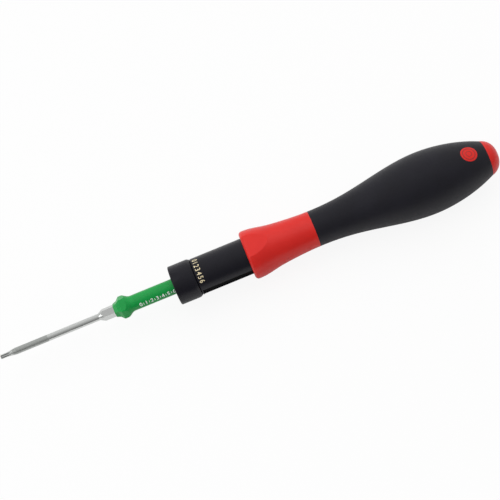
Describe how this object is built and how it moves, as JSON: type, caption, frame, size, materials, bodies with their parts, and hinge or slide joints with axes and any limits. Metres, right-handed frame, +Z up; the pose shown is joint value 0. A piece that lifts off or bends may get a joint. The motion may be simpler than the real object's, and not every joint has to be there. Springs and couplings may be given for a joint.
{
  "type": "torque screwdriver",
  "caption": "Adjustable torque screwdriver: slim blade with a green sleeve, black barrel with a scale window, red guard, bulged soft grip and a red end cap.",
  "frame": {"origin": "centre of the nose collar's front face, on the tool's axis", "axes": "+X along the axis to the rear of the handle, the tip at -X; +Z up through the round inlay; the scale window at -Y"},
  "size_m": [0.1938, 0.0234, 0.0235],
  "materials": {
    "blade_steel": "satin chrome-vanadium, matt at the tip",
    "green_plastic": "satin",
    "black_anodised": "satin black anodised",
    "bronze": "machined",
    "hard_steel": "ground",
    "spring_steel": "oiled",
    "ball_steel": "polished",
    "index_white": "painted",
    "natural_plastic": "moulded",
    "clear_plastic": "smoked clear",
    "red_plastic": "semi-gloss moulded",
    "black_rubber": "soft matt"
  },
  "bodies": {
    "handle": {"handle_core": "red_plastic", "soft_grip": "black_rubber", "end_cap": "red_plastic", "rear_bush": "natural_plastic", "barrel": "black_anodised", "scale_strip": "index_white", "scale_lens": "clear_plastic", "nose_bush": "bronze", "thrust_washer": "bronze", "torque_spring": "spring_steel"},
    "spindle": {"spindle": "hard_steel", "nose_collar": "black_anodised", "blade_retaining_ring": "spring_steel"},
    "blade": {"driver_blade": "blade_steel", "blade_sleeve": "green_plastic"},
    "clutch": {"clutch_ring": "hard_steel", "clutch_balls": "ball_steel", "spring_washer": "spring_steel"},
    "nut": {"spring_nut": "bronze", "index_pointer": "index_white"},
    "adjuster": {"adjusting_screw": "hard_steel", "screw_clip": "spring_steel", "adjuster_shaft": "hard_steel"}
  },
  "joints": [
    {"name": "torque_slip", "type": "hinge", "parent": "handle", "child": "spindle", "pos_m": [0, 0, 0], "axis": [-1, 0, 0], "continuous": true},
    {"name": "blade_pull", "type": "slide", "parent": "spindle", "child": "blade", "axis": [-1, 0, 0], "range_m": [0, 0.03]},
    {"name": "clutch_lift", "type": "slide", "parent": "handle", "child": "clutch", "axis": [1, 0, 0], "range_m": [0, 0.0005], "stiffness_N_per_m": 3000, "springref_m": -0.002},
    {"name": "torque_adjust", "type": "hinge", "parent": "handle", "child": "adjuster", "pos_m": [0.05, 0, 0], "axis": [-1, 0, 0], "range_deg": [0, 1440]},
    {"name": "nut_travel", "type": "slide", "parent": "handle", "child": "nut", "axis": [-1, 0, 0], "range_m": [0, 0.004], "deforming": ["torque_spring"]}
  ],
  "couplings": [
    {"joint": "nut_travel", "follows": "torque_adjust", "m_per_rad": 0.00015915}
  ]
}
